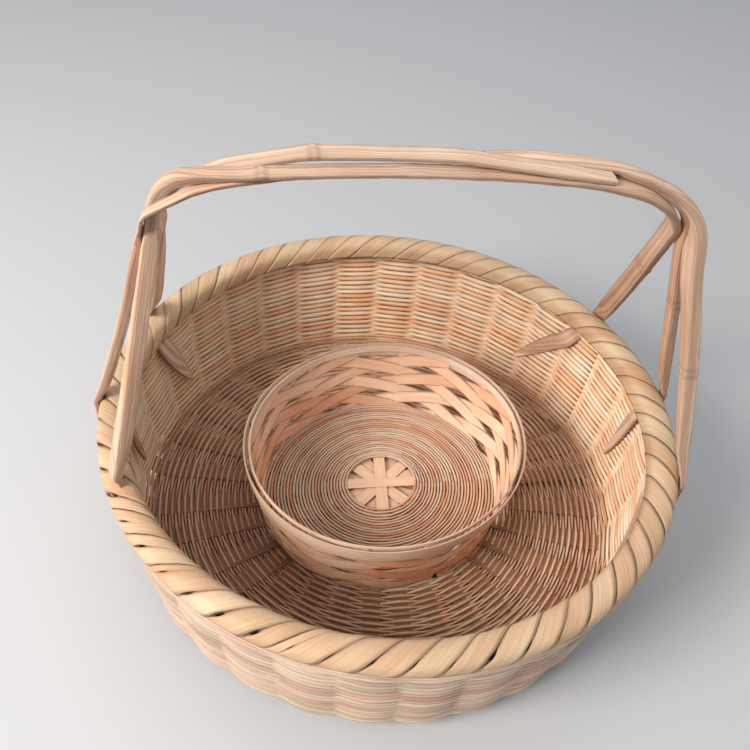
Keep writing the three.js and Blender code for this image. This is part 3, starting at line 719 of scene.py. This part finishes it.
# Each leg's direction at the rim, inside the wall and at its tip, in degrees, then its
# width, its thickness, its tongue's width and its bow to the right, in millimetres.
legs = {
    "back_right": dict(rim=26.4, inside=28.6, tip=43, width=15, thick=6, tongue=13, bow=1.5),
    "middle_right": dict(rim=0, inside=-1, tip=2, width=12, thick=6, tongue=9, bow=0),
    "front_right": dict(rim=-23.5, inside=-24.5, tip=-33, width=16, thick=9, tongue=13, bow=2),
    "back_left": dict(rim=152.6, inside=155.4, tip=148, width=15, thick=9, tongue=13, bow=0),
    "middle_left": dict(rim=180, inside=180, tip=177, width=12, thick=6.6, tongue=9, bow=2.4),
    "front_left": dict(rim=202.7, inside=202.7, tip=202.7, width=15, thick=9, tongue=13, bow=0),
}


def polar(radius, degrees, z):
    turn = math.radians(degrees)
    return np.array((radius * math.cos(turn), radius * math.sin(turn), z), float)


def wall_radius(z):
    radii, heights = zip(*wall_line)
    return float(np.interp(z, heights, radii))


def leg_stops(name, shoulder):
    """A leg's stops, from the tip of its tongue to the shoulder under the bend, in millimetres."""
    leg = legs[name]
    tongue = leg["tongue"]
    stops = []

    def stop(radius, degrees, z, width, thick):
        stops.append((polar(radius, degrees, z), polar(1, degrees + 90, 0), width, thick))

    if name == "front_left":
        stop(wall_radius(tongue_end) + between_hoops, leg["tip"], tongue_end, tongue, 3)
        stop(wall_radius(shoulder_height) + between_hoops, leg["inside"], shoulder_height, tongue, 3)
        stop(rim_radius + between_hoops, leg["rim"], rim_top + 0.3, tongue, 3)
        stop(rim_radius + 4.5, leg["rim"], rim_top + 9, tongue, 6)
    else:
        for share, full in ((0, 0.3), (0.35, 0.85), (0.7, 1.1), (1, 1.15)):
            z = tongue_end + (tongue_top - tongue_end) * share
            degrees = leg["tip"] + (leg["inside"] - leg["tip"]) * share
            stop(wall_radius(z) - wall_clearance, degrees, z, tongue * full, 2.6)
        stop(rim_outer + wall_clearance, leg["rim"], binding_foot - 3, tongue, 3.3)
        stop(rim_outer + wall_clearance, leg["rim"], rim_top - 5, tongue, 3)
    foot, foot_wide, foot_width, foot_thick = stops[-1]
    sideways = np.array((0, math.copysign(1, foot_wide[1]), 0))
    for share, full in ((0.05, 0.2), (0.16, 0.85), (0.42, 1), (0.7, 1), (1, 1)):
        at = foot + (np.array(shoulder, float) - foot) * share
        at[0] += leg["bow"] * 4 * share * (1 - share)
        wide = foot_wide + (sideways - foot_wide) * share
        stops.append((
            at, wide / np.linalg.norm(wide),
            foot_width + (leg["width"] - foot_width) * full,
            foot_thick + (leg["thick"] - foot_thick) * full,
        ))
    return stops


def strip_stops(left, right, width, thin, points):
    """A strip's stops from left to right: a leg or none, the points between, a leg or none."""
    stops = []
    if left:
        stops += [(at, -wide, w, t) for at, wide, w, t in leg_stops(left, points[0])]
    for point in points[1 if left else 0:len(points) - (1 if right else 0)]:
        thick_here = point[3] if len(point) > 3 else thin
        width_here = point[4] if len(point) > 4 else width
        stops.append((np.array(point[:3], float), np.array((0, 1.0, 0)), width_here, thick_here))
    if right:
        stops += leg_stops(right, points[-1])[::-1]
    return stops


def smooth_stops(stops, step):
    """Evenly spaced stops on a smooth curve through the given ones, and the way along it."""
    values = np.array([np.concatenate((at, wide, (w, t))) for at, wide, w, t in stops])
    gaps = np.linalg.norm(np.diff(values[:, :3], axis=0), axis=1)
    knots = np.concatenate(((0,), np.cumsum(gaps)))
    steps = np.diff(knots)[:, None]
    chords = np.diff(values, axis=0) / steps
    same_way = chords[:-1] * chords[1:] > 0
    both = np.where(same_way, chords[:-1] * chords[1:], 0)
    mean = (chords[:-1] * steps[:-1] + chords[1:] * steps[1:]) / (steps[:-1] + steps[1:])
    slopes = np.vstack((chords[:1], both / np.where(same_way, mean, 1), chords[-1:]))
    result = []
    for s in np.linspace(0, knots[-1], max(4, int(knots[-1] / step))):
        i = min(int(np.searchsorted(knots, s, side="right")) - 1, len(knots) - 2)
        h = knots[i + 1] - knots[i]
        t = (s - knots[i]) / h
        here = (
            (2 * t ** 3 - 3 * t ** 2 + 1) * values[i] + (t ** 3 - 2 * t ** 2 + t) * h * slopes[i]
            + (-2 * t ** 3 + 3 * t ** 2) * values[i + 1] + (t ** 3 - t ** 2) * h * slopes[i + 1]
        )
        result.append((here[:3], here[3:6], here[6], here[7], s))
    return result


# A strip's section, as shares of its width and of its thickness, with its outer face
# above. At a knuckle it is thicker, between two darker rings.
strip_section = (
    (-0.5, -0.3), (-0.46, -0.5), (-0.38, -0.5), (0.38, -0.5), (0.46, -0.5), (0.5, -0.3), (0.5, 0.26),
    (0.46, 0.42), (0.38, 0.46), (0, 0.5), (-0.38, 0.46), (-0.46, 0.42), (-0.5, 0.26),
)
knuckle_reach = 2.6
ring_place = 2.5
ring_reach = 1.3
ring_shade = 0.22
darkest = 0.6
sharp_edge = math.radians(38)


def strip_piece(
    name, stops, finish, seed, step=2.5, crown=0.12, rough=0.25, knuckles=(), on_skin=True, dark=0.25,
):
    """A closed strip with crisp edges, darkened with painted shade, that wander a little, and a crowned
    outer face.

    Its stops lie on its outer face, or else in its middle.
    """
    rows = smooth_stops(stops, step)
    knots = []
    for knuckle in knuckles:
        knots.append(min(rows, key=lambda row: np.linalg.norm(row[0] - np.array(knuckle)))[4])
    points, grains, shades_and_rings = [], [], []
    n = len(strip_section)
    tone = (seed * 0.37) % 1
    for i, (at, wide, width, thick, s) in enumerate(rows):
        before = rows[max(i - 1, 0)][0]
        after = rows[min(i + 1, len(rows) - 1)][0]
        way = (after - before) / np.linalg.norm(after - before)
        wide = wide - way * wide.dot(way)
        wide = wide / np.linalg.norm(wide)
        out = np.cross(way, wide)
        bulge = sum(math.exp(-((s - k) / knuckle_reach) ** 2) for k in knots)
        ring = ring_shade * sum(math.exp(-((abs(s - k) - ring_place) / ring_reach) ** 2) for k in knots)
        width = width * (1 + 0.05 * bulge) + rough * noise.noise(Vector((s * 0.06, seed, 1.5))) * 2
        middle = at - out * (thick / 2 if on_skin else 0)
        for j, (a, o) in enumerate(strip_section):
            stray = rough * noise.noise(Vector((s * 0.11, j * 0.9, seed * 3.3)))
            crowned = crown * thick * (1 - (2 * a) ** 2) if o > 0.15 else 0
            lift = thick * o + crowned + stray
            lift += 0.5 * bulge * (1 if o > 0 else 0.4)
            point = middle + wide * (a * width + stray * 0.6) + out * lift
            points.append(tuple(point * mm))
            grains.append((s * mm, j / n * 2 * (width + thick) * mm, tone))
            # Painted shade darkens the strip's edges, and the knuckles' darker rings are added to it.
            shades_and_rings.append(min(ring + (dark if abs(a) > 0.4 else 0), darkest))
    faces = []
    for i in range(len(rows) - 1):
        for j in range(n):
            k = (j + 1) % n
            faces.append((i * n + j, i * n + k, (i + 1) * n + k, (i + 1) * n + j))
    faces.append(tuple(range(n))[::-1])
    faces.append(tuple((len(rows) - 1) * n + j for j in range(n)))
    mesh = bpy.data.meshes.new(name)
    mesh.from_pydata(points, [], faces)
    attribute = mesh.attributes.new("grain", "FLOAT_VECTOR", "POINT")
    attribute.data.foreach_set("vector", np.array(grains, np.float32).ravel())
    attribute = mesh.attributes.new("painted_shade_and_rings", "FLOAT", "POINT")
    attribute.data.foreach_set("value", shades_and_rings)
    mesh.shade_smooth()
    mesh.set_sharp_from_angle(angle=sharp_edge)
    mesh.materials.append(finish)
    piece = bpy.data.objects.new(name, mesh)
    scene.collection.objects.link(piece)
    return piece


handle_finish = bamboo(
    "handle_bamboo", "f3d0b4", "d5a180", "f0d8c0",
    Fibres_Across=1100.0, Fibres_Along=4.0, Fibre_Depth=0.5, Tone_Spread=0.4, bump=0.0007,
)

# Each strip's line over the top, in millimetres. A fourth number is its thickness
# there and a fifth its width, where they differ from the strip's own.
strips = {
    "handle_hoop_front_left_to_back_right": strip_stops("front_left", "back_right", 14.6, 2.6, [
        (-left_corner - 4, -14, corner_height - 12),
        (-left_corner - 1.5, -12, corner_height, 7, 13),
        (-left_corner + 1.5, -10, corner_height + 13, 7, 13),
        (-left_corner + 8, -9, corner_height + 23.5, 7, 13),
        (-left_corner + 19, -8.5, handle_top - 0.7, 6, 13),
        (-left_corner + 33, -8, handle_top + 0.4, 4.5, 13),
        (-105, -7, handle_top),
        (-70, -4, handle_top + 0.5),
        (-14, -1, handle_top + 1),
        (46, 0.2, handle_top),
        (76, 1, handle_top - 2),
        (108, 1.6, handle_top - 4.5, 3, 15.5),
        (122, 0.8, handle_top - 6.2, 3.5, 16.5),
        (136, -0.8, handle_top - 8.2, 4, 17.5),
        (150, -1.5, corner_height + 16, 4.5, 17),
        (160, -0.5, corner_height + 9, 5, 15.5),
        (166.5, 1, corner_height + 1, 5, 14),
        (170.5, 4, corner_height - 6, 6, 14.5),
        (172.5, 9, corner_height - 14),
    ]),
    "handle_strip_back_left": strip_stops("back_left", None, 16.4, 2.6, [
        (-left_corner - 3, 9, corner_height - 14),
        (-left_corner + 1, 7.5, corner_height - 1, 6, 13),
        (-left_corner + 7, 6.5, corner_height + 10, 6, 13),
        (-left_corner + 15, 6, corner_height + 18, 5, 13),
        (-left_corner + 27, 6, handle_top - 7.5, 4, 14),
        (-116, 6.6, handle_top - 3.6),
        (-99, 7.8, handle_top),
        (-82, 8.7, handle_top + 3),
        (-65, 9.8, handle_top + 5),
        (-14, 10.8, handle_top + 5.5),
        (17, 10.4, handle_top + 5.5),
        (46, 7.6, handle_top + 4),
        (76, 4.6, handle_top + 2),
        (105, 2.9, handle_top - 0.8, 2.6, 15),
        (117.5, 3, handle_top - 2.2, 2.8, 14),
    ]),
    "handle_strip_front_right": strip_stops(None, "front_right", 14.6, 2.6, [
        (36, 18, handle_top),
        (56, 20.5, handle_top + 0.2),
        (76, 19, handle_top + 1),
        (108, 15.8, handle_top),
        (122, 15, handle_top - 1.2, 3),
        (136, 9.6, handle_top - 2.8, 4),
        (150, 6.8, handle_top - 7, 5),
        (164, 3.5, corner_height + 17.8, 6),
        (174, -0.5, corner_height + 11, 7),
        (180, -5, corner_height + 2.5, 8),
        (182.3, -10.5, corner_height - 7, 9, 15),
        (182.6, -15.5, corner_height - 17),
    ]),
    "handle_hoop_middle": strip_stops("middle_left", "middle_right", 9, 2, [
        (-167.7, -9, corner_height - 17),
        (-162.4, -16, corner_height - 2),
        (-156.5, -24, corner_height + 13),
        (-148, -25, corner_height + 18.6),
        (-142, -24, corner_height + 21.4),
        (-136.4, -21, handle_top - 7),
        (-131, -18, handle_top - 5.8),
        (-123, -14.5, handle_top - 5),
        (-115, -12, handle_top - 4.2),
        (-104, -9.5, handle_top - 3.6),
        (-60, 1, handle_top - 3.4),
        (-14, 3.5, handle_top - 3.2),
        (46, 5, handle_top - 4.4),
        (76, 7, handle_top - 6.5),
        (90, 11, handle_top - 7.5),
        (100, 14.5, handle_top - 6),
        (115, 14.5, handle_top - 5.5),
        (122, 14, handle_top - 6),
        (136, 11, handle_top - 6.4, 2.5, 10),
        (150, 6.5, corner_height + 20, 3, 11),
        (163, 1.5, corner_height + 13, 3.5, 11),
        (170, 0, corner_height + 7, 4, 11),
        (175.5, -1, corner_height + 0.5, 5, 11),
        (179.5, -1, corner_height - 18),
    ]),
}
handle_knuckles = {
    "handle_hoop_front_left_to_back_right": ((-93, -6, 310), (163, 23, 211)),
    "handle_strip_back_left": ((-64, 10, 315),),
    "handle_strip_front_right": ((186, -51, 195),),
    "handle_hoop_middle": ((187, -1, 215),),
}
for seed, (name, stops) in enumerate(strips.items()):
    piece = strip_piece("bamboo_" + name, stops, handle_finish, seed + 2, knuckles=handle_knuckles[name])
    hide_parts(name)
    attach(piece, "outer_basket")

# The small basket's floor: the basket stands loose inside and is a little oval. Fine
# weavers of split bamboo go round and round a star of eight splints, which they hold,
# in a low dome.
oval = 0.926
oval_turn = math.radians(30)
turned_back = Matrix.Rotation(-oval_turn, 4, "Z")
oval_shape = Matrix.Rotation(oval_turn, 4, "Z") @ Matrix.Diagonal((1, oval, 1, 1)) @ turned_back
inner_floor_foot = 10.3
inner_floor_radius = 97.6
inner_floor_half = 2.3
dome_rise = 0.6
weaver_lift = 0.8


def dome(radius):
    share = min(radius / inner_floor_radius, 1)
    return inner_floor_foot + inner_floor_half + dome_rise * (1 - share * share)


dome_line = [(30.2, 17.2), (33.5, 16.2), (38, 14.4)]
dome_line += [(radius, dome(radius) + weaver_lift) for radius in (45, 60, 75, 99)]
inner_finish = bamboo(
    "small_basket_weavers", "ffe2c4", "f2b08a", "fcdcb6",
    Fibres_Across=800.0, Fibre_Depth=0.3, Tone_Spread=0.9,
)
inner_floor = settled("small_basket_floor_strands", line_mesh("dome_line", dome_line), weave_tree, {
    "Rows": 27, "Steps": 160, "Stakes": 16.0, "First Stake": 0.0,
    "Wave": 0.12 * mm, "Spread": 0.1, "Strand Depth": 1.02 * mm, "Strand Height": 1.15 * mm,
    "Unevenness": 0.5 * mm, "Dive Shade Depth": 0.05, "Side Shade": 0.5, "Lies Flat": 1.0,
    "Seed": 8, "Finish": inner_finish,
}, oval_shape)
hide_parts("inner_basket_floor_weave")
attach(inner_floor, "inner_basket")

# The star: eight thin flat splints of split bamboo, crossed at the hub, the one that
# lies across on top. The floor's weavers hold them. These are the frame's own solids.
star_count = 8
star_open_radius = 31 * mm
for number in range(1, star_count + 1):
    turned = (number - 1) * 180 / star_count
    star_finish = flat_splint(f"star_splint_{number}", "f8d0ac", "e0aa84", turned, star_open_radius)
    dress(f"inner_basket_star_splint_{number}", star_finish)

# The lattice wall: the star's sixteen ends turn up from the floor, alternately to the
# left and to the right, and pass over and under each other as they wind round. They
# are thin splints, held by the floor's edge below and by the rim's hoops above.
lattice_foot = inner_floor_foot
inner_rim_top = 79
lattice_top = inner_rim_top - 0.4
inner_heel = 100
inner_rim = 112
lattice_width = 12.4
lattice_thick = 0.8
lattice_swing = 0.75
lattice_sweep = 125
ends_each_way = 8
ends_apart = 360 / ends_each_way
hidden_share = 0.17
lattice_finish = bamboo(
    "lattice_splint", "fedfc1", "f2ae85", "fbe4c8", Fibres_Across=600.0, Fibre_Depth=0.2, Tone_Spread=0.55,
)


def lattice_radius(z):
    share = max((z - lattice_foot) / (lattice_top - lattice_foot), 0)
    return inner_heel + (inner_rim - inner_heel) * share ** 0.8


def upright_stop(radius, degrees, z, height, thick):
    """A stop of a strip that stands on edge and leans out as the lattice does."""
    slope = (lattice_radius(z + 1) - lattice_radius(z - 1)) / 2
    return polar(radius, degrees, z), polar(slope, degrees, 1), height, thick


def lattice_stops(number, lean):
    """A splint from its wedge, hidden under the floor's edge, up to the rim."""
    steps = 72
    low = lattice_foot + lattice_width / 2
    high = lattice_top - lattice_width / 2
    stops = []
    for i in range(steps + 1):
        share = -hidden_share + (1 + hidden_share) * i / steps
        z = low + (high - low) * share
        upper = z + lattice_width / 2
        lower = max(z - lattice_width / 2, lattice_foot + 0.3)
        z = (upper + lower) / 2
        crossings = share * 2 * lattice_sweep / ends_apart
        radius = lattice_radius(z) - lean * lattice_swing * math.cos(math.pi * crossings)
        degrees = number * ends_apart + lean * lattice_sweep * share
        stops.append(upright_stop(radius, degrees, z, upper - lower, lattice_thick))
    return stops


for number in range(ends_each_way):
    for lean, side in ((1, "left"), (-1, "right")):
        piece = strip_piece(
            f"lattice_{side}_{number + 1}", lattice_stops(number, lean), lattice_finish,
            number * 2 + lean + 11, step=3.0, crown=0.0, rough=0.12, on_skin=False, dark=0.5,
        )
        piece.data.transform(oval_shape)
        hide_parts(f"inner_basket_lattice_{side}_{number + 1}")
        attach(piece, "inner_basket")

# The small basket's rim: two thin flat hoops of split bamboo, a narrow one inside the
# lattice and a wider one outside, which hold the splints' ends between them.
hoop_thick = 1.5
hoop_out = 2.15
hoop_wander = 0.4
hoop_steps = 96
hoop_finish = bamboo(
    "small_rim_splint", "f4d9c2", "e0b697", "e0d0b4",
    Fibres_Across=900.0, Fibres_Along=6.0, Fibre_Depth=0.2, Tone_Spread=0.3, Tint_Share=0.3,
)


def inner_hoop(name, node, side, height, seed):
    stops = []
    for i in range(hoop_steps + 1):
        degrees = i * 360 / hoop_steps
        wander = hoop_wander * math.sin(math.radians(degrees * 3 + seed * 50))
        z = inner_rim_top - height / 2 + wander
        radius = lattice_radius(min(z, lattice_top)) + side * hoop_out
        stops.append(upright_stop(radius, degrees, z, height, hoop_thick))
    piece = strip_piece(name, stops, hoop_finish, seed, step=4.0, crown=0.1, rough=0.15, on_skin=False)
    piece.data.transform(oval_shape)
    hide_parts(node)
    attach(piece, "inner_basket")


inner_hoop("small_rim_hoop_inner", "inner_basket_rim_hoop_inner", side=-1, height=6, seed=4)
inner_hoop("small_rim_hoop_outer", "inner_basket_rim_hoop_outer", side=1, height=13.6, seed=5)
